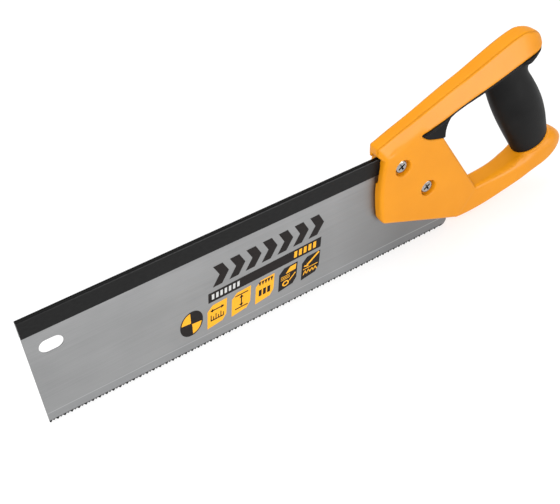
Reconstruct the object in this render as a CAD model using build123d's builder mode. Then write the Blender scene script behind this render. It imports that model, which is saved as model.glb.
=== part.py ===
from build123d import *
import math
import os

# A back saw: a toothed steel blade, a folded steel back along its top edge and a closed
# plastic handle with a soft rubber grip, held on the blade by two screws and nuts.
# Frame: X runs from the toe of the blade to the handle, Z is up from the tooth tips,
# Y is across the blade, with the middle of the blade at y = 0. All sizes are in mm.

# --- blade ---
blade_length = 300.0
blade_thickness = 0.9
blade_top = 82.6
tooth_count = 130
tooth_pitch = 2.26
tooth_depth = 1.3
heel_base = 0.5
heel_radius = 5.0
tang_turn = 44.0
tang_top_end = 277.5
hang_hole_centre = (14.8, 58.1)
hang_hole_length = 14.6
hang_hole_height = 9.4

# --- folded back ---
back_low = 71.5
back_top = 84.0
back_wall = 1.2
back_half = blade_thickness / 2 + back_wall
back_end = 246.0
fold_radius = 1.1

# --- cheek of the handle ---
cheek_top_front = (240.4, 84.4)
cheek_mid_front = (236.9, 60.0)
cheek_low_front = (237.6, 38.5)
cheek_half = 7.8
cheek_rim_radius = 2.5
relief_end = 239.6
relief_low = 65.5
relief_half = 2.6
lip_chamfer_top = 88.2
lip_chamfer_end = 239.2
fit_gap = 0.05
end_gap = 0.4

# --- lower arm: x, underside, top, half width, corner radius ---
arm_sections = [
    (303.0, 7.7, 28.0, 7.55, 2.5),
    (311.0, 7.3, 28.0, 7.6, 2.5),
    (320.0, 7.4, 28.4, 7.75, 2.9),
    (335.0, 8.9, 29.4, 8.3, 4.0),
    (350.0, 12.0, 32.1, 9.4, 5.2),
    (362.0, 16.0, 36.6, 11.0, 6.0),
    (374.0, 20.3, 42.0, 12.0, 6.4),
    (385.0, 23.6, 45.6, 11.8, 7.0),
    (393.0, 27.2, 43.6, 9.6, 6.8),
    (398.0, 30.8, 39.6, 5.6, 4.0),
    (400.0, 33.8, 36.6, 2.0, 1.3),
]

# --- beam: x, underside, top, half width of the flat top, half width at the underside ---
nose_front = 236.2
nose_bevel_end = 242.2
beam_sections = [
    (241.5, 84.4, 95.5, 4.2, 7.85),
    (258.0, 90.4, 101.5, 4.4, 8.0),
    (269.0, 92.3, 105.5, 4.5, 8.8),
    (290.0, 98.7, 113.1, 4.8, 9.6),
    (315.0, 106.3, 122.1, 5.15, 10.4),
    (338.0, 113.3, 130.5, 5.4, 11.1),
    (349.0, 116.4, 133.2, 5.4, 11.2),
    (357.5, 118.2, 132.6, 5.0, 10.6),
    (363.5, 119.2, 129.8, 4.0, 8.8),
    (367.5, 120.3, 126.2, 2.6, 5.6),
    (369.0, 121.6, 123.8, 1.2, 2.4),
]
nose_sections = [(nose_front, 84.4, 93.6, 4.2, 7.85), beam_sections[0]]
beam_corner_radius = 0.7

# --- grip, set out along its own leaning axis from the foot up to the beam ---
grip_base = (372.5, 41.4)
grip_lean = 25.0
grip_rubber = 2.5
# distance along the axis, shift towards the rear, half depth, half width
grip_sections = [
    (0.0, 0.4, 14.6, 10.4),
    (17.0, 0.9, 16.8, 11.9),
    (34.0, 0.6, 17.9, 12.4),
    (51.0, -0.6, 17.3, 11.7),
    (68.0, -1.8, 15.7, 10.0),
    (85.0, -2.6, 14.6, 8.0),
]
collar_top = 0.5
collar_lip = 0.9
collar_depth = 9.5
strip_start = 269.4
strip_front = 1.9
strip_rear = 3.4
strip_inset = 0.7
strip_bite = 1.0
tab_half = 7.9
tab_web_half = 5.4

# --- screws and nuts ---
screw_places = [(254.2, 73.2), (275.9, 47.4)]
screw_diameter = 5.0
screw_hole = 5.4
seat_half = 3.8
recess_diameter = 11.6
head_diameter = 9.0
head_height = 2.0
head_dome = 0.9
cross_width = 1.2
cross_length = 5.4
cross_depth = 1.3
cross_turn = 30.0
cross_taper = 8.0
screw_tip = 7.9
tip_chamfer = 0.6
nut_across_flats = 8.0
nut_height = 3.2
nut_bore = 5.05
nut_play = 0.2
nut_face_radius = 3.9
nut_cone = 60.0


def cross_section_plane(x, z=0.0):
    """A plane across the saw at x, with its own x along Y and its own y along Z."""
    return Plane(origin=(x, 0, z), x_dir=(0, 1, 0), z_dir=(1, 0, 0))


def grip_plane(distance, shift):
    """The cross plane of the grip at a distance along its leaning axis."""
    lean = math.radians(grip_lean)
    x = grip_base[0] - distance * math.sin(lean) + shift * math.cos(lean)
    z = grip_base[1] + distance * math.cos(lean) + shift * math.sin(lean)
    return Plane(
        origin=(x, 0, z),
        x_dir=(math.cos(lean), 0, math.sin(lean)),
        z_dir=(-math.sin(lean), 0, math.cos(lean)),
    )


# --- blade: teeth along the bottom, hang hole at the toe, rounded heel, hidden tang ---
tooth_line = []
for tooth in range(tooth_count):
    tooth_line.append(((tooth + 0.25) * tooth_pitch, 0))
    tooth_line.append(((tooth + 0.75) * tooth_pitch, tooth_depth))
toe_corner = (0, tooth_depth / 2)
heel_start = (tooth_count + 0.1) * tooth_pitch
heel_bend = blade_length - heel_radius

with BuildPart() as blade:
    with BuildSketch(Plane.XZ):
        with BuildLine():
            Polyline([toe_corner] + tooth_line + [(heel_start, heel_base), (heel_bend, heel_base)])
            JernArc((heel_bend, heel_base), (1, 0), heel_radius, 90)
            Polyline(
                (blade_length, heel_base + heel_radius),
                (blade_length, tang_turn),
                (tang_top_end, blade_top),
                (0, blade_top),
                toe_corner,
            )
        make_face()
        with Locations(hang_hole_centre):
            SlotOverall(hang_hole_length, hang_hole_height, mode=Mode.SUBTRACT)
        with Locations(*screw_places):
            Circle(screw_hole / 2, mode=Mode.SUBTRACT)
    extrude(amount=blade_thickness / 2, both=True)
blade.part.label = "blade"


# --- folded back: a U of sheet steel that grips the top edge of the blade ---
with BuildPart() as blade_back:
    with BuildSketch(Plane.YZ):
        with Locations((0, (back_low + back_top) / 2)):
            Rectangle(2 * back_half, back_top - back_low)
        fillet(vertices().group_by(Axis.Y)[-1], radius=fold_radius)
        with Locations((0, (back_low + blade_top) / 2)):
            Rectangle(blade_thickness, blade_top - back_low, mode=Mode.SUBTRACT)
    extrude(amount=back_end)
blade_back.part.label = "blade_back"


# --- rubber tab: the finger rest in the front top corner of the hand opening ---
with BuildSketch(Plane.XZ) as tab_outline:
    with BuildLine():
        Spline(
            (267.0, 92.6), (274.0, 86.6), (281.0, 84.0), (288.0, 82.2),
            tangents=[(0.9, -0.9), (1, -0.2)],
        )
        Spline((288.0, 82.2), (288.4, 89.0), (291.0, 95.0), (297.0, 99.6))
        Polyline((297.0, 99.6), (297.0, 102.5), (267.0, 94.0), (267.0, 92.6))
    make_face()

with BuildPart() as tab_block:
    with BuildSketch(Plane.XZ):
        add(tab_outline.sketch_local)
    extrude(amount=tab_half, both=True)


# --- cheek: the flat plate that holds the blade, pocketed on both sides for the tab ---
with BuildPart() as cheek:
    with BuildSketch(Plane.XZ):
        with BuildLine():
            ThreePointArc(cheek_top_front, cheek_mid_front, cheek_low_front)
            Polyline(
                cheek_low_front, (240.0, 34.0), (303.0, 8.2), (319.0, 28.3), (287.0, 82.6),
                (286.8, 89.0), (290.0, 99.8), (269.0, 94.0), (258.0, 90.8), (241.5, 84.8),
                cheek_top_front,
            )
        make_face()
    extrude(amount=cheek_half, both=True)
    side_rims = faces().filter_by(Axis.Y).edges()
    free_rims = side_rims.filter_by(lambda edge: edge.center().Z < 80 and edge.center().X < 308)
    fillet(free_rims, radius=cheek_rim_radius)
    for way in (1, -1):
        with BuildSketch(Plane.XZ.offset(way * tab_web_half)):
            add(tab_outline.sketch_local)
        extrude(amount=way * cheek_half, mode=Mode.SUBTRACT)


# --- lower arm: rounded sections from the cheek to the foot behind the grip ---
with BuildPart() as lower_arm:
    for x, low, high, half, corner in arm_sections:
        with BuildSketch(cross_section_plane(x, (low + high) / 2)):
            RectangleRounded(2 * half, high - low, corner)
    loft()


# --- beam: the sloping bar over the hand, with a flat top and leaning sides ---
with BuildPart() as beam:
    for sections, straight in ((nose_sections, True), (beam_sections, False)):
        for x, low, high, top_half, low_half in sections:
            with BuildSketch(cross_section_plane(x)):
                with BuildLine():
                    Polyline(
                        (-low_half, low), (low_half, low), (top_half, high), (-top_half, high),
                        close=True,
                    )
                make_face()
                fillet(vertices(), radius=beam_corner_radius)
        loft(ruled=straight)
    nose_top_half, nose_low_half = nose_sections[0][3:]
    with BuildSketch(Plane.XY):
        with BuildLine():
            Polyline(
                (nose_front, 0), (nose_front, nose_top_half), (nose_bevel_end, nose_low_half),
                (nose_bevel_end, 2 * cheek_half), (arm_sections[-1][0], 2 * cheek_half),
                (arm_sections[-1][0], 0), close=True,
            )
        make_face()
        mirror(about=Plane.XZ)
    extrude(amount=2 * blade_top, mode=Mode.INTERSECT)


# --- grip: the outer barrel, the core's stem and collar for it, the strip under the beam ---
with BuildPart() as grip_barrel:
    for distance, shift, half_depth, half_width in grip_sections:
        with BuildSketch(grip_plane(distance, shift)):
            Ellipse(half_depth, half_width)
    loft()

with BuildPart() as grip_stem:
    for distance, shift, half_depth, half_width in grip_sections:
        with BuildSketch(grip_plane(distance, shift)):
            Ellipse(half_depth - grip_rubber, half_width - grip_rubber)
    loft()

with BuildPart() as collar:
    base_shift, base_half_depth, base_half_width = grip_sections[0][1:]
    with BuildSketch(grip_plane(collar_top, base_shift)):
        Ellipse(base_half_depth + collar_lip, base_half_width + collar_lip)
    extrude(amount=-collar_depth)

strip_sections = beam_sections[1:]
strip_length = strip_sections[-1][0] - strip_sections[0][0]

with BuildPart() as under_strip:
    for x, low, high, top_half, low_half in strip_sections:
        along_strip = (x - strip_sections[0][0]) / strip_length
        thickness = strip_front + (strip_rear - strip_front) * along_strip**3
        with BuildSketch(cross_section_plane(x, low + (strip_bite - thickness) / 2)):
            Rectangle(2 * (low_half - strip_inset), thickness + strip_bite)
    loft()
    split(bisect_by=Plane.YZ.offset(strip_start))


# --- handle core: one moulding, slotted for the blade and its back, bored for the screws ---
slot_start = nose_front - cheek_half
slot_end = blade_length + end_gap
pocket_end = back_end + end_gap

with BuildPart() as handle_core:
    for moulding in (cheek, lower_arm, beam, collar, grip_stem):
        add(moulding.part)
    with BuildSketch(Plane.XY):
        with Locations(((slot_start + slot_end) / 2, 0)):
            Rectangle(slot_end - slot_start, blade_thickness + 2 * fit_gap)
    extrude(amount=blade_top + fit_gap, mode=Mode.SUBTRACT)
    with BuildSketch(Plane.XY.offset(back_low - fit_gap)):
        with Locations(((slot_start + pocket_end) / 2, 0)):
            Rectangle(pocket_end - slot_start, 2 * (back_half + fit_gap))
    extrude(amount=back_top - back_low + 2 * fit_gap, mode=Mode.SUBTRACT)
    with BuildSketch(Plane.XY.offset(relief_low)):
        with Locations(((slot_start + relief_end) / 2, 0)):
            Rectangle(relief_end - slot_start, 2 * relief_half)
    extrude(amount=back_top + fit_gap - relief_low, mode=Mode.SUBTRACT)
    with BuildSketch(Plane.XZ.offset(-relief_half)):
        with BuildLine():
            Polyline(
                (nose_front, lip_chamfer_top), (nose_front - 1, lip_chamfer_top),
                (nose_front - 1, back_top), (lip_chamfer_end, back_top), close=True,
            )
        make_face()
    extrude(amount=relief_half + cheek_half, mode=Mode.SUBTRACT)
    with BuildSketch(Plane.XZ):
        with Locations(*screw_places):
            Circle(screw_hole / 2)
    extrude(amount=cheek_half, both=True, mode=Mode.SUBTRACT)
    with BuildSketch(Plane.XZ.offset(seat_half)):
        with Locations(*screw_places):
            Circle(recess_diameter / 2)
    extrude(amount=cheek_half, mode=Mode.SUBTRACT)
    with BuildSketch(Plane.XZ.offset(-seat_half)):
        with Locations(*screw_places):
            RegularPolygon(nut_across_flats / 2 + nut_play, 6, major_radius=False)
    extrude(amount=-cheek_half, mode=Mode.SUBTRACT)
handle_core.part.label = "handle_core"


# --- grip cover: one soft moulding around the stem, under the beam and over the tab ---
with BuildPart() as grip_cover:
    for moulding in (grip_barrel, under_strip, tab_block):
        add(moulding.part)
    add(handle_core.part, mode=Mode.SUBTRACT)
grip_cover.part.label = "grip_cover"


# --- screws: domed heads with a cross recess on the -Y side, shanks through to the nuts ---
with BuildPart() as handle_screws:
    with BuildSketch(Plane.XZ.offset(seat_half)):
        with Locations(*screw_places):
            Circle(head_diameter / 2)
    extrude(amount=head_height)
    fillet(faces().filter_by(Axis.Y).group_by(Axis.Y)[0].edges(), radius=head_dome)
    with BuildSketch(Plane.XZ.offset(seat_half + head_height)):
        with Locations(*screw_places):
            Rectangle(cross_length, cross_width, rotation=cross_turn)
            Rectangle(cross_width, cross_length, rotation=cross_turn)
    extrude(amount=-cross_depth, taper=cross_taper, mode=Mode.SUBTRACT)
    with BuildSketch(Plane.XZ.offset(seat_half)):
        with Locations(*screw_places):
            Circle(screw_diameter / 2)
    extrude(amount=-seat_half - screw_tip)
    chamfer(faces().filter_by(Axis.Y).group_by(Axis.Y)[-1].edges(), length=tip_chamfer)
handle_screws.part.label = "handle_screws"


# --- nuts: hexagonal with coned faces, in pockets on the +Y side ---
with BuildPart() as handle_nuts:
    with BuildSketch(Plane.XZ.offset(-seat_half)):
        with Locations(*screw_places):
            RegularPolygon(nut_across_flats / 2, 6, major_radius=False)
            Circle(nut_bore / 2, mode=Mode.SUBTRACT)
    extrude(amount=-nut_height)
    with BuildSketch(Plane.XZ.offset(-seat_half - nut_height)):
        with Locations(*screw_places):
            Circle(nut_face_radius)
    extrude(amount=nut_height, taper=-nut_cone, mode=Mode.INTERSECT)
handle_nuts.part.label = "handle_nuts"


os.makedirs("parts", exist_ok=True)
for piece in (blade, blade_back, handle_core, grip_cover, handle_screws, handle_nuts):
    export_step(piece.part, f"parts/{piece.part.label}.step")
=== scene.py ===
"""The looks of a back saw: a brushed steel blade with set teeth, a black folded back, and an
orange moulded handle with a rubber grip, on a pale studio floor.

Lengths are in millimetres until a mesh or a light is made, which is in metres.
"""

import math

import bmesh
import bpy
import numpy as np
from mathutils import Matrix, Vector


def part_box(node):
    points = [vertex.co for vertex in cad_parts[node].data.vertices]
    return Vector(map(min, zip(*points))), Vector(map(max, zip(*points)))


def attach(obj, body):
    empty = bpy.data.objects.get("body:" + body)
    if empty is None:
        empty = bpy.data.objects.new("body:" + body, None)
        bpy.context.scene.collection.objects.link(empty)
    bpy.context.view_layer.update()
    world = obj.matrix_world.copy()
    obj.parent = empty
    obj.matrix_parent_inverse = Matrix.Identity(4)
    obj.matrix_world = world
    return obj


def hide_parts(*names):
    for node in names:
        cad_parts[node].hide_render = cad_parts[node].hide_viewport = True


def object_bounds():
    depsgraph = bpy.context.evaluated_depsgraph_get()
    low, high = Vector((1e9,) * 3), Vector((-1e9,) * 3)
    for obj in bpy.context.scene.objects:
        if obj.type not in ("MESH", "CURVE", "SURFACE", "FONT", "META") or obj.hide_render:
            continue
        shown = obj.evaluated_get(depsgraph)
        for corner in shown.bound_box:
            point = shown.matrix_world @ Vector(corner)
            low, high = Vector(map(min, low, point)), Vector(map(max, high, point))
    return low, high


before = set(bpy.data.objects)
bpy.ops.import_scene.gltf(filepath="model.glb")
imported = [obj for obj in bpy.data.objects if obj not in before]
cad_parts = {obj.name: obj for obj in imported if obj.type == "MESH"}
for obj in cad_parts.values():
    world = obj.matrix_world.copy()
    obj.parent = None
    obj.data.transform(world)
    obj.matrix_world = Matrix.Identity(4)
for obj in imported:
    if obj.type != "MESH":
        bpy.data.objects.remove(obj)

import openvdb as vdb
from mathutils import Matrix, Vector

cad_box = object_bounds()

MM = 0.001
ROOT = "root"


def corners(node):
    """Lowest and highest corner of a CAD node in millimetres."""
    low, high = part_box(node)
    return np.array(low) / MM, np.array(high) / MM


BLADE_LOW, BLADE_HIGH = corners("blade")
BACK_LOW, BACK_HIGH = corners("blade_back")
CORE_LOW, CORE_HIGH = corners("handle_core")
GRIP_LOW, GRIP_HIGH = corners("grip_cover")
SCREW_LOW, SCREW_HIGH = corners("handle_screws")

# --- core: the features that are cut after the moulding has been softened ---
CHEEK_HALF = 7.8
HEAD_RADIUS = 4.5
RECESS_RADIUS = 5.8
SEAT_HALF = 3.8
BORE_RADIUS = 2.7
NUT_POCKET_FLATS = 8.4
FIT = 0.1
END_GAP = 0.4
RELIEF_HALF = 2.6
RELIEF_END = 239.6
RELIEF_LOW = 65.5
SCREWS = (
    (SCREW_LOW[0] + HEAD_RADIUS, SCREW_HIGH[2] - HEAD_RADIUS),
    (SCREW_HIGH[0] - HEAD_RADIUS, SCREW_LOW[2] + HEAD_RADIUS),
)

# --- beam: half widths of its flat top and of its underside along X ---
BEAM_X = (236.2, 241.5, 258.0, 269.0, 290.0, 315.0, 338.0, 349.0, 357.5, 363.5, 367.5)
BEAM_TOP_HALF = (4.2, 4.2, 4.4, 4.5, 4.8, 5.15, 5.4, 5.4, 5.0, 4.0, 2.6)
BEAM_LOW_HALF = (7.85, 7.85, 8.0, 8.8, 9.6, 10.4, 11.1, 11.2, 10.6, 8.8, 5.6)

# --- lines in the plane of the blade, each from one (x, z) to another ---
BEAM_UNDERSIDE = ((241.5, 84.4), (349.0, 116.4))
REAR_UNDERSIDE = ((338.0, 113.3), (357.5, 118.2))
BEAM_CREASE = ((241.5, 84.6), (270.0, 94.2))
LIP_CHAMFER = ((236.2, 88.2), (239.2, 84.0))

# --- fine line along the edges of the flat top, well above the beam's underside ---
RIDGE_INSET = 0.35
RIDGE_GROOVE = 0.38
RIDGE_ABOVE = 6.0
LINE_HALF = 0.28

# --- grip: half depths, half widths and shifts along its leaning axis ---
GRIP_BASE = (372.5, 41.4)
GRIP_LEAN = math.radians(25.0)
GRIP_AT = (0.0, 17.0, 34.0, 51.0, 68.0, 85.0)
GRIP_SHIFT = (0.4, 0.9, 0.6, -0.6, -1.8, -2.6)
GRIP_DEPTH = (14.6, 16.8, 17.9, 17.3, 15.7, 14.6)
GRIP_WIDTH = (10.4, 11.9, 12.4, 11.7, 10.0, 8.0)

# --- rubber strip under the rear of the beam, and its flare out of the grip ---
FLARE = 15.0
STRIP_RIM = 0.7
STRIP_SLOPE = 0.35
STRIP_INSET = 0.8
STRIP_END = 367.0

# --- how far edges and corners are softened ---
EDGE_SOFT = 0.42
HOLLOW_SOFT = 2.4
BULB_SOFT = 1.2
RUBBER_SOFT = 0.4
SLOT_EDGE = 0.4
RECESS_EDGE = 0.9
NUT_EDGE = 0.7
LINE_EDGE = 0.15

# --- voxel fields: the handle is softened as a distance field ---
VOXEL = 0.55
REACH = 8.0
MARGIN = 9.0
FIRST = np.floor((np.minimum(CORE_LOW, GRIP_LOW) - MARGIN) / VOXEL).astype(int)
LAST = np.ceil((np.maximum(CORE_HIGH, GRIP_HIGH) + MARGIN) / VOXEL).astype(int)
COUNT = LAST - FIRST + 1
X = ((FIRST[0] + np.arange(COUNT[0])) * VOXEL).astype(np.float32)[:, None, None]
Y = ((FIRST[1] + np.arange(COUNT[1])) * VOXEL).astype(np.float32)[None, :, None]
Z = ((FIRST[2] + np.arange(COUNT[2])) * VOXEL).astype(np.float32)[None, None, :]


# ---------------------------------------------------------------- mesh helpers


def placed(name, data):
    """A new object in the scene with this mesh, light or camera."""
    obj = bpy.data.objects.new(name, data)
    bpy.context.scene.collection.objects.link(obj)
    return obj


def make_object(name, points, faces, smooth=False):
    """A new mesh object from points in millimetres."""
    mesh = bpy.data.meshes.new(name)
    mesh.from_pydata([tuple(p) for p in np.asarray(points, float) * MM], [], faces)
    mesh.update()
    if smooth:
        mesh.shade_smooth()
    return placed(name, mesh)


def node_copy(node):
    """A bmesh of a CAD node, in metres, with its split corners joined again."""
    work = bmesh.new()
    work.from_mesh(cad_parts[node].data)
    bmesh.ops.remove_doubles(work, verts=work.verts, dist=0.002 * MM)
    return work


def object_from(work, name):
    """A new flat-shaded object from a bmesh in metres."""
    bmesh.ops.recalc_face_normals(work, faces=work.faces)
    mesh = bpy.data.meshes.new(name)
    work.to_mesh(mesh)
    work.free()
    mesh.shade_flat()
    return placed(name, mesh)


def mark_groove_shade(obj, points):
    """Stores how near each corner of the core is to the fine grooves along the beam's flat top, where the
    plastic is painted darker as painted shade.
    """
    x, y, z = points.T
    aside = np.abs(np.abs(y) - np.interp(x, BEAM_X, BEAM_TOP_HALF) + RIDGE_INSET)
    above = beside_line(BEAM_UNDERSIDE, x, z)
    near = np.clip(1.5 - aside / LINE_HALF, 0, 1) * (above > RIDGE_ABOVE) * (x < BEAM_X[-1])
    mark = obj.data.attributes.new("painted_groove_shade", "FLOAT", "POINT")
    mark.data.foreach_set("value", near.astype(np.float32))


def finish_piece(obj, material, slot, *nodes):
    """Gives a piece its material and its body, and hides the CAD nodes it stands for. The slot is not
    used.
    """
    obj.data.materials.clear()
    obj.data.materials.append(material)
    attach(obj, ROOT)
    if nodes:
        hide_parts(*nodes)


# ---------------------------------------------------------------- distance fields


def field_of(points, triangles=None, quads=None):
    """Distance to a closed surface in millimetres on the voxels, negative inside."""
    faces = {}
    if triangles is not None:
        faces["triangles"] = triangles.astype(np.uint32)
    if quads is not None:
        faces["quads"] = quads.astype(np.uint32)
    grid = vdb.FloatGrid.createLevelSetFromPolygons(
        points.astype(np.float32), transform=vdb.createLinearTransform(VOXEL),
        halfWidth=REACH / VOXEL, **faces
    )
    field = np.empty(COUNT, np.float32)
    grid.copyToArray(field, ijk=tuple(int(i) for i in FIRST))
    return field


def surface_of(field):
    """Points in millimetres and quads of the surface where a field is zero."""
    grid = vdb.FloatGrid(REACH)
    grid.transform = vdb.createLinearTransform(VOXEL)
    grid.copyFromArray(field, ijk=tuple(int(i) for i in FIRST))
    return grid.convertToQuads(isovalue=0.0)


def node_field(node):
    """The distance field of a CAD node."""
    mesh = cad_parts[node].data
    mesh.calc_loop_triangles()
    points = np.empty(len(mesh.vertices) * 3, np.float32)
    mesh.vertices.foreach_get("co", points)
    triangles = np.empty(len(mesh.loop_triangles) * 3, np.int32)
    mesh.loop_triangles.foreach_get("vertices", triangles)
    return field_of(points.reshape(-1, 3) / MM, triangles=triangles.reshape(-1, 3))


def renewed(field):
    """The same surface with true distances again."""
    points, quads = surface_of(field)
    return field_of(points, quads=quads)


def softened(field, radius):
    """The field blurred by a Gaussian of this radius, which rounds edges and fills corners."""
    reach = int(math.ceil(2.5 * radius / VOXEL))
    steps = np.arange(-reach, reach + 1)
    weights = np.exp(-0.5 * (steps * VOXEL / radius) ** 2)
    weights /= weights.sum()
    for axis in range(3):
        field = sum(w * np.roll(field, s, axis) for s, w in zip(steps, weights))
    return field.astype(np.float32)


def step_up(value, start, end):
    """Rises smoothly from 0 at start to 1 at end."""
    t = np.clip((value - start) / (end - start), 0, 1)
    return t * t * (3 - 2 * t)


def soft_min(a, b, rounding):
    """The smaller of two fields, with the corner between them filled."""
    return np.minimum(a, b) - np.maximum(rounding - np.abs(a - b), 0) ** 2 / (4 * rounding)


def soft_max(a, b, rounding):
    """The larger of two fields, with the edge between them rounded."""
    return np.maximum(a, b) + np.maximum(rounding - np.abs(a - b), 0) ** 2 / (4 * rounding)


def rod(x, z, radius):
    """Field of an endless round rod along Y."""
    return np.hypot(X - x, Z - z) - radius


def hex_rod(x, z, across):
    """Field of an endless hexagonal rod along Y, with flats facing up and down."""
    field = -np.full((COUNT[0], 1, COUNT[2]), REACH, np.float32)
    for turn in range(6):
        angle = math.radians(30 + 60 * turn)
        field = np.maximum(field, (X - x) * math.cos(angle) + (Z - z) * math.sin(angle) - across / 2)
    return field


def beside_line(line, x=X, z=Z):
    """Signed distance from a line in the plane of the blade, positive above it."""
    (x0, z0), (x1, z1) = line
    return ((z - z0) * (x1 - x0) - (x - x0) * (z1 - z0)) / math.hypot(x1 - x0, z1 - z0)


def along_grip():
    """Distance up the leaning axis of the grip from its foot."""
    return (Z - GRIP_BASE[1]) * math.cos(GRIP_LEAN) - (X - GRIP_BASE[0]) * math.sin(GRIP_LEAN)


def blended(field, other, share):
    """One field turning into another as the share goes from 0 to 1."""
    return field + share * (other - field)


def without_crumbs(points, quads):
    """Only the largest joined part of a surface."""
    label = np.arange(len(points))
    while True:
        low = label[quads].min(axis=1)
        fresh = label.copy()
        for corner in range(4):
            np.minimum.at(fresh, quads[:, corner], low)
        fresh = fresh[fresh]
        if (fresh == label).all():
            break
        label = fresh
    biggest = np.bincount(label).argmax()
    kept = label == biggest
    new_index = np.cumsum(kept) - 1
    return points[kept], new_index[quads[kept[quads[:, 0]]]]


# ---------------------------------------------------------------- the handle


def filled_core():
    """The CAD core without its slots and bores, as one solid moulding."""
    field = node_field("handle_core")
    fill_half = BACK_HIGH[1] + 1.2
    beside = int(round(fill_half / VOXEL)) - FIRST[1]
    inner = np.abs(Y) <= fill_half
    cheek = (X < BLADE_HIGH[0] + 3) & (Z < BACK_HIGH[2] + 2)
    field = np.where(inner & cheek, field[:, beside:beside + 1, :], field)
    for x, z in SCREWS:
        plug = np.maximum(rod(x, z, RECESS_RADIUS + 1), np.abs(Y) - CHEEK_HALF)
        field = np.minimum(field, plug)
    return renewed(field)


def smooth_core(solid):
    """The uncut core with moulded edges and soft hollows at the beam and under the grip."""
    crease = beside_line(BEAM_CREASE)
    beam = np.exp(-((crease / 4.0) ** 2)) * step_up(X, 243, 249) * step_up(-X, -274, -264)
    up = along_grip()
    foot = step_up(up, -17, -9) * step_up(-up, 0.2, 2.2) * step_up(X, 352, 358)
    hollow = np.maximum(beam * step_up(np.abs(Y), 4.0, 6.0), foot)
    bulb = step_up(X, 352, 358) * step_up(beside_line(REAR_UNDERSIDE), 1.5, 5.0)
    field = blended(softened(solid, EDGE_SOFT), softened(solid, HOLLOW_SOFT), hollow)
    field = blended(field, softened(solid, BULB_SOFT), bulb)
    # a fine line runs along each edge of the flat top of the beam
    top_half = np.interp(X, BEAM_X, BEAM_TOP_HALF).astype(np.float32)
    line = np.hypot(np.abs(Y) - top_half + RIDGE_INSET, field) - RIDGE_GROOVE
    line = np.maximum(line, RIDGE_ABOVE - beside_line(BEAM_UNDERSIDE))
    return soft_max(field, -line, LINE_EDGE)


def carved_core(smooth):
    """The smooth core cut for the blade, the back and the fasteners."""
    beside = np.abs(Y)
    slot = np.maximum(beside - BLADE_HIGH[1] - FIT, X - BLADE_HIGH[0] - END_GAP)
    slot = np.maximum(slot, Z - BLADE_HIGH[2] - FIT)
    pocket = np.maximum(beside - BACK_HIGH[1] - FIT, X - BACK_HIGH[0] - END_GAP)
    pocket = np.maximum(pocket, np.maximum(Z - BACK_HIGH[2] - FIT, BACK_LOW[2] - FIT - Z))
    relief = np.maximum(beside - RELIEF_HALF, X - RELIEF_END)
    relief = np.maximum(relief, np.maximum(Z - BACK_HIGH[2] - FIT, RELIEF_LOW - Z))
    lip = np.maximum(beside_line(LIP_CHAMFER), Y - RELIEF_HALF)
    lip = np.maximum(lip, BACK_HIGH[2] - 0.5 - Z)
    field = smooth
    for hollow in (slot, pocket, relief, lip):
        field = soft_max(field, -hollow, SLOT_EDGE)
    for x, z in SCREWS:
        field = np.maximum(field, -rod(x, z, BORE_RADIUS))
        recess = np.maximum(rod(x, z, RECESS_RADIUS), SEAT_HALF + Y)
        field = soft_max(field, -recess, RECESS_EDGE)
        nut_pocket = np.maximum(hex_rod(x, z, NUT_POCKET_FLATS), SEAT_HALF - Y)
        field = soft_max(field, -nut_pocket, NUT_EDGE)
    return field


def grip_barrel(up, across):
    """Field of the grip's oval barrel, at these places along and across its leaning axis."""
    depth = np.interp(up, GRIP_AT, GRIP_DEPTH)
    width = np.interp(up, GRIP_AT, GRIP_WIDTH)
    barrel = np.hypot((across - np.interp(up, GRIP_AT, GRIP_SHIFT)) / depth, Y / width) - 1
    return (barrel * np.minimum(depth, width)).astype(np.float32)


def moulded_grip(smooth):
    """The rubber with eased edges, flaring out to the rear under the beam."""
    rubber = node_field("grip_cover")
    up = along_grip()
    across = (X - GRIP_BASE[0]) * math.cos(GRIP_LEAN) + (Z - GRIP_BASE[1]) * math.sin(GRIP_LEAN)
    barrel = grip_barrel(up, across)
    edge = np.interp(X, BEAM_X, BEAM_LOW_HALF).astype(np.float32)
    under = beside_line(REAR_UNDERSIDE)
    # towards the rear the strip thins out at its rim
    belly = -under - STRIP_RIM - STRIP_SLOPE * np.maximum(edge - np.abs(Y), 0)
    rear = step_up(across, 4, 12) * step_up(up, 50, 56)
    rubber = blended(rubber, np.maximum(rubber, np.minimum(belly, barrel)), rear)
    # a web with a hollow side joins the rear of the barrel and the strip
    strip = np.maximum(np.maximum(belly, np.abs(Y) - edge + STRIP_INSET), X - STRIP_END)
    rounding = 0.4 + FLARE * step_up(across, 2, 14)
    web = np.maximum(soft_min(barrel, strip, rounding), under - 1.0)
    web = np.where(across > 2, np.maximum(web, FIT - smooth), REACH)
    return softened(np.minimum(rubber, web.astype(np.float32)), RUBBER_SOFT)


def handle_meshes():
    """Points and quads of the core, then those of the rubber."""
    smooth = smooth_core(filled_core())
    fields = (carved_core(smooth), moulded_grip(smooth))
    return [without_crumbs(*surface_of(field)) for field in fields]


# ---------------------------------------------------------------- steel parts

TOOTH_SET = 0.2
TOOTH_SKEW = 0.2
TOOTH_DEPTH = 1.3
TOOTH_PITCH = 2.26
SHARP_ANGLE = 1.2


def is_sharp(edge):
    return len(edge.link_faces) == 2 and edge.calc_face_angle() > SHARP_ANGLE


def by_turns(corners_of_teeth):
    """Each corner with -1 or 1, changing from one place along the blade to the next."""
    places = sorted({round(v.co.x / MM, 2) for v in corners_of_teeth})
    ways = {place: 1 if i % 2 else -1 for i, place in enumerate(places)}
    return [(v, ways[round(v.co.x / MM, 2)]) for v in corners_of_teeth]


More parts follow.
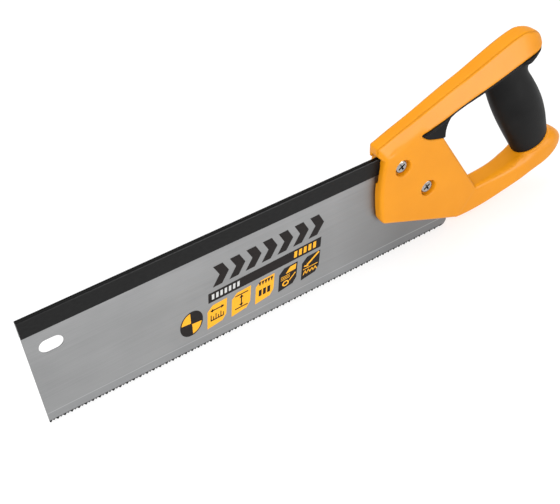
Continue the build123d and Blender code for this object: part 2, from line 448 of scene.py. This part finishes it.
def blade_mesh():
    """The CAD blade with its teeth bent left and right by turns and filed to a bevel."""
    work = node_copy("blade")
    tips = [v for v in work.verts if v.co.z < 0.05 * MM and v.co.x < (BLADE_HIGH[0] - 6) * MM]
    for v, way in by_turns(tips):
        v.co.y += way * TOOTH_SET * MM
    gullets = [v for v in work.verts if abs(v.co.z - TOOTH_DEPTH * MM) < 0.02 * MM]
    for v, way in by_turns(gullets):
        v.co.x += way * math.copysign(TOOTH_SKEW * MM, v.co.y)
    rims = []
    for edge in work.edges:
        low = min(v.co.z for v in edge.verts)
        if low > 2 * MM and is_sharp(edge):
            rims.append(edge)
    bmesh.ops.bevel(work, geom=rims, offset=0.12 * MM, segments=1, affect="EDGES")
    return work


def back_mesh():
    """The CAD back with its lips and ends eased, as folded and painted sheet has them."""
    work = node_copy("blade_back")
    edges = [e for e in work.edges if is_sharp(e)]
    bmesh.ops.bevel(work, geom=edges, offset=0.22 * MM, segments=2, profile=0.5, affect="EDGES")
    return work


# ---------------------------------------------------------------- print on the blade

PRINT_X = 107.8
PRINT_Z = 11.7
PRINT_RISE = 0.033
PRINT_LEAN = 0.135
INK = 0.012


class Print:
    """Flat shapes laid on the near face of the blade, as one thin closed mesh."""

    def __init__(self, name, layer=0):
        self.name = name
        self.points = []
        self.faces = []
        self.under = BLADE_LOW[1] + 0.01
        self.over = BLADE_LOW[1] - INK * (layer + 1)

    def shape(self, outline):
        """One filled outline, given counter-clockwise as places along and above the print."""
        start, count = len(self.points), len(outline)
        for depth in (self.over, self.under):
            for along, above in outline:
                x = PRINT_X + along + PRINT_LEAN * above
                z = PRINT_Z + above + PRINT_RISE * along
                self.points.append((x, depth, z))
        self.faces.append([start + i for i in range(count)])
        self.faces.append([start + count + i for i in reversed(range(count))])
        for i in range(count):
            j = (i + 1) % count
            self.faces.append([start + j, start + i, start + count + i, start + count + j])

    def bar(self, along, above, width, height):
        self.shape([(along, above), (along + width, above), (along + width, above + height),
                    (along, above + height)])

    def stroke(self, a, b, thick):
        """A straight line of even thickness from a to b."""
        run = Vector(b) - Vector(a)
        side = Vector((-run.y, run.x)).normalized() * thick / 2
        ends = (Vector(a) - side, Vector(b) - side, Vector(b) + side, Vector(a) + side)
        self.shape([tuple(p) for p in ends])

    def oval(self, centre, wide, high, turns=(0, 360), steps=40):
        """A filled ellipse, or the part of it between two angles."""
        sector = turns[1] - turns[0] < 360
        angles = [math.radians(turns[0] + (turns[1] - turns[0]) * i / steps)
                  for i in range(steps + sector)]
        rim = [(centre[0] + wide * math.cos(a), centre[1] + high * math.sin(a)) for a in angles]
        self.shape([centre] + rim if sector else rim)

    def made(self):
        return make_object(self.name, self.points, self.faces)


CHIP = [(0, 0), (11.0, 1.6), (13.6, 5.6), (13.8, 17.8), (3.6, 17.4), (0, 13.6)]
CHIP_STEP = 17.45
BANNER = [(0.6, 20.3), (83.4, 20.3), (83.4, 28.2), (0.4, 27.9)]
CHEVRONS = 7
CHEVRON_STEP = 11.6
CHEVRON_REACH = 4.6
CHEVRON_THICK = 6.6


def chip_at(index):
    return [(index * CHIP_STEP + along, above) for along, above in CHIP]


def print_shapes():
    """Chevrons, a banner and five chips with small pictures, in three inks."""
    dark = Print("blade_print_dark", 0)
    yellow = Print("blade_print_yellow", 1)
    light = Print("blade_print_light", 1)
    detail = Print("blade_print_detail", 2)
    # a row of chevrons and the banner under it
    for i in range(CHEVRONS):
        along = 3.6 + i * CHEVRON_STEP
        nose = along + CHEVRON_REACH
        dark.shape([
            (along, 31.4), (along + CHEVRON_THICK, 31.4), (nose + CHEVRON_THICK, 39.2),
            (along + CHEVRON_THICK, 47.0), (along, 47.0), (nose, 39.2),
        ])
    dark.shape(BANNER)
    for i in range(7):
        light.bar(3.0 + 3.0 * i, 22.2, 1.7, 4.0)
    for i in range(5):
        yellow.bar(63.0 + 3.6 * i, 21.9, 2.2, 4.8)
    # disc with slanted sectors
    dark.oval((-11.2, 11.4), 8.0, 9.6)
    yellow.oval((-11.6, 11.9), 6.6, 8.0, (95, 175), 16)
    yellow.oval((-10.8, 10.9), 6.6, 8.0, (275, 355), 16)
    # three yellow chips: a rule, a depth arrow, a row of teeth
    for index in range(3):
        yellow.shape(chip_at(index))
    detail.stroke((2.2, 5.4), (11.6, 5.4), 0.9)
    for i in range(6):
        detail.stroke((2.6 + 1.75 * i, 5.4), (2.6 + 1.75 * i, 8.2 + 1.6 * (i % 2 == 0)), 0.7)
    detail.stroke((2.6, 13.2), (11.2, 13.2), 0.9)
    detail.shape([(1.8, 13.2), (4.0, 11.8), (4.0, 14.6)])
    detail.shape([(12.0, 13.2), (9.8, 14.6), (9.8, 11.8)])
    at = CHIP_STEP
    detail.stroke((at + 2.4, 4.4), (at + 11.8, 4.4), 0.9)
    detail.stroke((at + 2.4, 14.8), (at + 11.8, 14.8), 0.9)
    detail.stroke((at + 7.0, 6.4), (at + 7.0, 12.8), 0.9)
    detail.shape([(at + 7.0, 4.9), (at + 8.6, 7.2), (at + 5.4, 7.2)])
    detail.shape([(at + 7.0, 14.3), (at + 5.4, 12.0), (at + 8.6, 12.0)])
    at = 2 * CHIP_STEP
    for i in range(5):
        detail.shape([(at + 2.0 + 2.2 * i, 16.4), (at + 3.1 + 2.2 * i, 12.8), (at + 4.2 + 2.2 * i, 16.4)])
    for i in range(3):
        detail.bar(at + 2.4 + 3.2 * i, 5.0, 2.2, 5.0)
    # two dark chips: a board with its grain, and a cut line over teeth
    for index in (3, 4):
        dark.shape(chip_at(index))
    at = 3 * CHIP_STEP
    yellow.shape([(at + 5.0, 12.2), (at + 12.6, 12.6), (at + 12.8, 16.6), (at + 8.2, 16.4)])
    for i in range(3):
        yellow.stroke((at + 1.6, 10.6 - 1.2 * i), (at + 8.4, 10.8 - 1.2 * i), 0.45)
    yellow.oval((at + 5.4, 4.6), 2.6, 2.2, steps=24)
    detail.oval((at + 5.4, 4.6), 1.5, 1.2, steps=20)
    yellow.stroke((at + 8.2, 5.6), (at + 12.6, 9.8), 0.9)
    at = 4 * CHIP_STEP
    yellow.stroke((at + 4.0, 10.6), (at + 12.8, 16.9), 1.5)
    yellow.stroke((at + 1.8, 10.6), (at + 5.2, 9.6), 1.0)
    yellow.stroke((at + 1.2, 8.0), (at + 12.4, 8.2), 0.6)
    for i in range(4):
        yellow.stroke((at + 1.6 + 2.6 * i, 3.6), (at + 2.9 + 2.6 * i, 6.6), 0.7)
        yellow.stroke((at + 2.9 + 2.6 * i, 6.6), (at + 4.2 + 2.6 * i, 3.6), 0.7)
    return dark, yellow, light, detail


# ---------------------------------------------------------------- materials


class Recipe:
    """A node material. Inputs are set to a value or linked to another node's output."""

    def __init__(self, name):
        self.material = bpy.data.materials.new(name)
        self.material.use_nodes = True
        self.tree = self.material.node_tree
        self.shader = self.tree.nodes["Principled BSDF"]
        place = self.add("ShaderNodeTexCoord").outputs["Object"]
        self.place = self.scaled(place, (1 / MM,) * 3)

    def add(self, kind, settings=None, **inputs):
        node = self.tree.nodes.new(kind)
        for key, value in (settings or {}).items():
            setattr(node, key, value)
        for key, value in inputs.items():
            self.put(node.inputs[key.replace("_", " ")], value)
        return node

    def put(self, socket, value):
        if isinstance(value, bpy.types.NodeSocket):
            self.tree.links.new(value, socket)
        else:
            socket.default_value = value

    def surface(self, **inputs):
        for key, value in inputs.items():
            self.put(self.shader.inputs[key.replace("_", " ")], value)

    def scaled(self, vector, scale):
        return self.add("ShaderNodeMapping", Vector=vector, Scale=scale).outputs["Vector"]

    def sum(self, operation, *values):
        node = self.add("ShaderNodeMath", {"operation": operation})
        for socket, value in zip(node.inputs, values):
            self.put(socket, value)
        return node.outputs[0]

    def noise(self, scale=(1, 1, 1), detail=3.0, roughness=0.5):
        """Noise with about one lump per millimetre, times scale."""
        node = self.add(
            "ShaderNodeTexNoise", Vector=self.scaled(self.place, scale), Scale=1.0,
            Detail=detail, Roughness=roughness,
        )
        return node.outputs["Fac"]

    def range(self, value, start, end, low=0.0, high=1.0):
        node = self.add("ShaderNodeMapRange", Value=value)
        for key, number in (("From Min", start), ("From Max", end), ("To Min", low), ("To Max", high)):
            node.inputs[key].default_value = number
        return node.outputs["Result"]

    def mix(self, share, a, b):
        node = self.add("ShaderNodeMix", {"data_type": "RGBA"})
        self.put(node.inputs[0], share)
        for socket, value in ((node.inputs[6], a), (node.inputs[7], b)):
            self.put(socket, value if isinstance(value, bpy.types.NodeSocket) else (*value, 1.0))
        return node.outputs[2]

    def bump(self, height, distance, strength):
        """distance is the height of the relief in millimetres."""
        node = self.add("ShaderNodeBump", Height=height, Distance=distance * MM, Strength=strength)
        return node.outputs["Normal"]

    def edges(self, start, end):
        """1 on sharp outside edges, 0 on flat faces."""
        point = self.add("ShaderNodeNewGeometry").outputs["Pointiness"]
        return self.range(point, start, end)

    def axes(self):
        """The place along, across and above the saw, in millimetres."""
        return tuple(self.add("ShaderNodeSeparateXYZ", Vector=self.place).outputs)


def orange_plastic():
    """Moulded plastic: fine spark-eroded grain, faint flow marks, darker along sharp outside edges,
    painted shade in hollows and creases and along the fine grooves of the beam.
    """
    r = Recipe("orange_plastic")
    cloud = r.range(r.noise((0.035, 0.05, 0.035), 2.0), 0.3, 0.7)
    grain = r.noise((2.4, 2.4, 2.4), 2.0, 0.6)
    base = r.mix(cloud, (0.735, 0.264, 0.0030), (0.780, 0.288, 0.0045))
    # the plastic is darker along sharp outside edges
    base = r.mix(r.range(r.edges(0.52, 0.60), 0, 1, 0.0, 0.30), base, (0.56, 0.18, 0.002))
    # painted shade: the plastic is painted darker in hollows and creases, such as the screw recesses and
    # the inside corners of the handle
    base = r.mix(r.range(r.edges(0.47, 0.40), 0, 1, 0.0, 0.5), base, (0.56, 0.16, 0.002))
    # painted shade: the plastic is painted darker along the fine grooves at the edges of the beam's flat
    # top
    line = r.add("ShaderNodeAttribute", {"attribute_name": "painted_groove_shade"}).outputs["Fac"]
    base = r.mix(r.range(line, 0, 1, 0.0, 0.55), base, (0.36, 0.12, 0.002))
    rough = r.range(grain, 0.3, 0.7, 0.38, 0.48)
    r.surface(
        Base_Color=base, Roughness=rough, IOR=1.48, Specular_IOR_Level=0.18,
        Normal=r.bump(grain, 0.012, 0.8),
    )
    return r.material


def black_rubber():
    """Soft moulded rubber: matt, slightly pebbled, a little greyer where it is handled."""
    r = Recipe("black_rubber")
    pebble = r.noise((1.6, 1.6, 1.6), 3.0, 0.55)
    cloud = r.range(r.noise((0.06, 0.06, 0.06), 3.0), 0.35, 0.7)
    base = r.mix(cloud, (0.0030, 0.0030, 0.0032), (0.0070, 0.0070, 0.0072))
    r.surface(
        Base_Color=base, Roughness=r.range(cloud, 0, 1, 0.44, 0.54), Specular_IOR_Level=0.08,
        Normal=r.bump(pebble, 0.03, 0.7),
    )
    return r.material


def blade_steel():
    """Rolled and ground steel: fine lines along the blade, a hardened band at the teeth."""
    r = Recipe("blade_steel")
    lines = r.noise((0.05, 1.0, 7.0), 4.0, 0.65)
    long_lines = r.noise((0.012, 1.0, 1.6), 3.0, 0.6)
    cloud = r.noise((0.02, 1.0, 0.03), 2.0)
    shade = r.sum("ADD", r.range(lines, 0.3, 0.7, 0.0, 0.4), r.range(long_lines, 0.3, 0.7, 0.0, 0.2))
    shade = r.sum("ADD", shade, r.range(cloud, 0.3, 0.7, 0.0, 0.4))
    base = r.mix(shade, (0.220, 0.222, 0.224), (0.310, 0.312, 0.313))
    along, across, above = r.axes()
    # painted shade: the steel is painted darker from the middle towards the heel, and darker still just
    # before the handle, as if in shadow
    base = r.mix(r.range(along, 60, 280, 0.0, 0.35), base, (0.15, 0.152, 0.154))
    base = r.mix(r.range(along, 205, 262, 0.0, 0.45), base, (0.085, 0.086, 0.086))
    wander = r.range(r.noise((0.03, 1.0, 0.0), 2.0), 0.0, 1.0, -0.25, 0.25)
    edge = r.sum("ABSOLUTE", r.sum("SUBTRACT", r.sum("ADD", above, wander), 7.8))
    base = r.mix(r.range(edge, 0.45, 0.1, 0.0, 0.35), base, (0.52, 0.53, 0.54))
    base = r.mix(r.range(above, 7.8, 7.4, 0.0, 0.10), base, (0.18, 0.19, 0.21))
    under_back = r.range(above, BACK_LOW[2] - 1.1, BACK_LOW[2] - 0.7, 0.0, 0.6)
    base = r.mix(under_back, base, (0.60, 0.61, 0.62))
    # painted shade: every other tooth turns its filed bevel to this side, and that bevel is painted
    # nearly black as if in shade
    tooth = r.sum("ADD", r.sum("DIVIDE", along, 2 * TOOTH_PITCH), 0.125)
    turned = r.range(r.sum("FRACT", tooth), 0.49, 0.51, 1.0, 0.7)
    filed = r.sum("MULTIPLY", r.range(above, 1.9, 1.3), turned)
    base = r.mix(filed, base, (0.006, 0.006, 0.006))
    r.surface(
        Base_Color=base, Metallic=1.0, Roughness=r.range(lines, 0.3, 0.7, 0.36, 0.50),
        Normal=r.bump(lines, 0.004, 0.6),
    )
    return r.material


def black_paint():
    """Satin paint on folded steel: slight orange peel, uneven in tone, with the top painted darker as a
    painted reflection and a painted highlight along its far top edge.
    """
    r = Recipe("black_paint")
    peel = r.noise((0.9, 0.9, 0.9), 2.0)
    tone_and_highlight_patches = r.noise((0.25, 0.6, 0.6), 4.0, 0.7)
    base = r.mix(r.range(tone_and_highlight_patches, 0.35, 0.7), (0.0060, 0.0060, 0.0062), (0.0100, 0.0100, 0.0100))
    along, across, above = r.axes()
    # painted reflection: the top of the back is painted darker, as if it mirrors dark surroundings
    fold = r.range(above, BACK_HIGH[2] - 0.7, BACK_HIGH[2] - 0.3)
    base = r.mix(fold, base, (0.0015, 0.0015, 0.0015))
    # painted highlight: a patchy light line along the far top edge, standing in for light caught by the
    # rounded fold
    far_edge_highlight = r.sum("MULTIPLY", fold, r.range(across, BACK_HIGH[1] - 0.9, BACK_HIGH[1] - 0.5))
    base = r.mix(r.sum("MULTIPLY", far_edge_highlight, r.range(tone_and_highlight_patches, 0.25, 0.55, 0.6, 1.0)), base, (0.16, 0.16, 0.16))
    r.surface(
        Base_Color=base, Roughness=r.range(tone_and_highlight_patches, 0.3, 0.7, 0.30, 0.40), Specular_IOR_Level=0.12,
        Normal=r.bump(peel, 0.012, 0.6),
    )
    return r.material


def fastener_steel():
    """Bright zinc plating with a faint turned grain, and painted shade in its hollows."""
    r = Recipe("fastener_steel")
    mottle = r.noise((1.2, 1.2, 1.2), 4.0, 0.6)
    base = r.mix(r.range(mottle, 0.3, 0.7), (0.27, 0.26, 0.25), (0.42, 0.41, 0.40))
    # painted shade: the plating is painted darker in the cross recess and other hollows, where ambient
    # occlusion finds them
    painted_recess_shade = r.add("ShaderNodeAmbientOcclusion", {"samples": 8}, Distance=2.0 * MM).outputs["AO"]
    base = r.mix(r.range(painted_recess_shade, 0.25, 0.80), (0.05, 0.045, 0.04), base)
    r.surface(
        Base_Color=base, Metallic=1.0, Roughness=r.range(mottle, 0.3, 0.7, 0.16, 0.30),
        Normal=r.bump(mottle, 0.008, 0.5),
    )
    return r.material


def ink(name, low, high):
    """Screen-printed ink, slightly uneven, over the lines of the steel."""
    r = Recipe(name)
    uneven = r.noise((0.5, 1.0, 2.5), 3.0, 0.6)
    r.surface(
        Base_Color=r.mix(r.range(uneven, 0.3, 0.7), low, high),
        Roughness=r.range(uneven, 0.3, 0.7, 0.42, 0.55), Specular_IOR_Level=0.1,
        Normal=r.bump(uneven, 0.006, 0.5),
    )
    return r.material


def floor_material():
    """Pale studio paper with a faint fibre."""
    r = Recipe("studio_paper")
    fibre = r.noise((0.4, 0.4, 0.4), 4.0)
    white = r.mix(fibre, (0.40, 0.40, 0.40), (0.42, 0.42, 0.42))
    r.surface(Base_Color=white, Roughness=0.8, Emission_Color=white, Emission_Strength=1.5)
    return r.material


# ---------------------------------------------------------------- the pieces

(core_points, core_quads), (grip_points, grip_quads) = handle_meshes()
core = make_object("handle_core_moulding", core_points, core_quads.tolist(), smooth=True)
mark_groove_shade(core, core_points)
finish_piece(core, orange_plastic(), "handle_plastic", "handle_core")
grip = make_object("grip_rubber_moulding", grip_points, grip_quads.tolist(), smooth=True)
finish_piece(grip, black_rubber(), "grip_rubber", "grip_cover")

blade = object_from(blade_mesh(), "blade_ground")
finish_piece(blade, blade_steel(), "blade_steel", "blade")
back = object_from(back_mesh(), "blade_back_folded")
finish_piece(back, black_paint(), "back_paint", "blade_back")

zinc = fastener_steel()
for node in ("handle_screws", "handle_nuts"):
    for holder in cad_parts[node].material_slots:
        holder.material = zinc

dark_ink = ink("dark_ink", (0.010, 0.008, 0.008), (0.018, 0.014, 0.013))
yellow_ink = ink("yellow_ink", (0.93, 0.42, 0.02), (0.96, 0.47, 0.03))
light_ink = ink("light_ink", (0.55, 0.55, 0.54), (0.65, 0.65, 0.64))
for shapes, colour in zip(print_shapes(), (dark_ink, yellow_ink, light_ink, dark_ink)):
    finish_piece(shapes.made(), colour, "blade_steel")


# ---------------------------------------------------------------- studio

FLOOR_SIZE = 60.0
SKY_STRENGTH = 0.72
AIM = Vector((0.16426, 0.0, 0.04558))
EYE = Vector((-0.05026, -0.37533, 0.42997))
CAMERA_RIGHT = Vector((0.838041, -0.542115, -0.061642))
LENS = 60.10
SENSOR = 36.0


def make_floor():
    """A plain sheet just under the teeth."""
    half = FLOOR_SIZE / 2 / MM
    low = cad_box[0].z / MM - 0.05
    floor = make_object(
        "studio_floor", [(-half, -half, low), (half, -half, low), (half, half, low), (-half, half, low)],
        [(0, 1, 2, 3)],
    )
    floor.data.materials.append(floor_material())


def soft_light(name, place, aim, wide, high, power):
    """A white area light at a place, aimed at another, both in metres."""
    data = bpy.data.lights.new(name, "AREA")
    data.shape = "RECTANGLE"
    data.size = wide
    data.size_y = high
    data.energy = power
    light = placed(name, data)
    light.location = place
    light.rotation_euler = (Vector(aim) - Vector(place)).to_track_quat("-Z", "Y").to_euler()
    return light


def make_camera():
    """The camera looks at AIM from EYE, with a small roll given by CAMERA_RIGHT."""
    data = bpy.data.cameras.new("camera")
    data.lens = LENS
    data.sensor_width = SENSOR
    data.clip_start = 0.01
    camera = placed("camera", data)
    back_way = (EYE - AIM).normalized()
    right = (CAMERA_RIGHT - CAMERA_RIGHT.dot(back_way) * back_way).normalized()
    up = back_way.cross(right)
    turn = Matrix((right, up, back_way)).transposed()
    camera.matrix_world = Matrix.Translation(EYE) @ turn.to_4x4()
    bpy.context.scene.camera = camera


def make_world():
    world = bpy.data.worlds.new("studio")
    world.use_nodes = True
    sky = world.node_tree.nodes["Background"]
    sky.inputs["Color"].default_value = (1.0, 1.0, 1.0, 1.0)
    sky.inputs["Strength"].default_value = SKY_STRENGTH
    bpy.context.scene.world = world


make_floor()
soft_light("key", (-0.75, -1.30, 1.35), (0.22, 0.0, 0.06), 1.3, 1.0, 13.0)
fill = soft_light("fill", (-0.55, -0.75, 0.95), (0.34, 0.0, 0.05), 0.6, 0.6, 4.5)
fill.visible_glossy = False
sheen = soft_light("sheen", (0.75, -1.45, 0.22), (0.30, 0.0, 0.10), 0.9, 0.42, 30.0)
sheen.visible_diffuse = False
soft_light("top", (0.35, 0.35, 1.70), (0.25, 0.0, 0.05), 1.0, 1.0, 8.5)
make_camera()
make_world()
bpy.context.scene.view_settings.view_transform = "Standard"
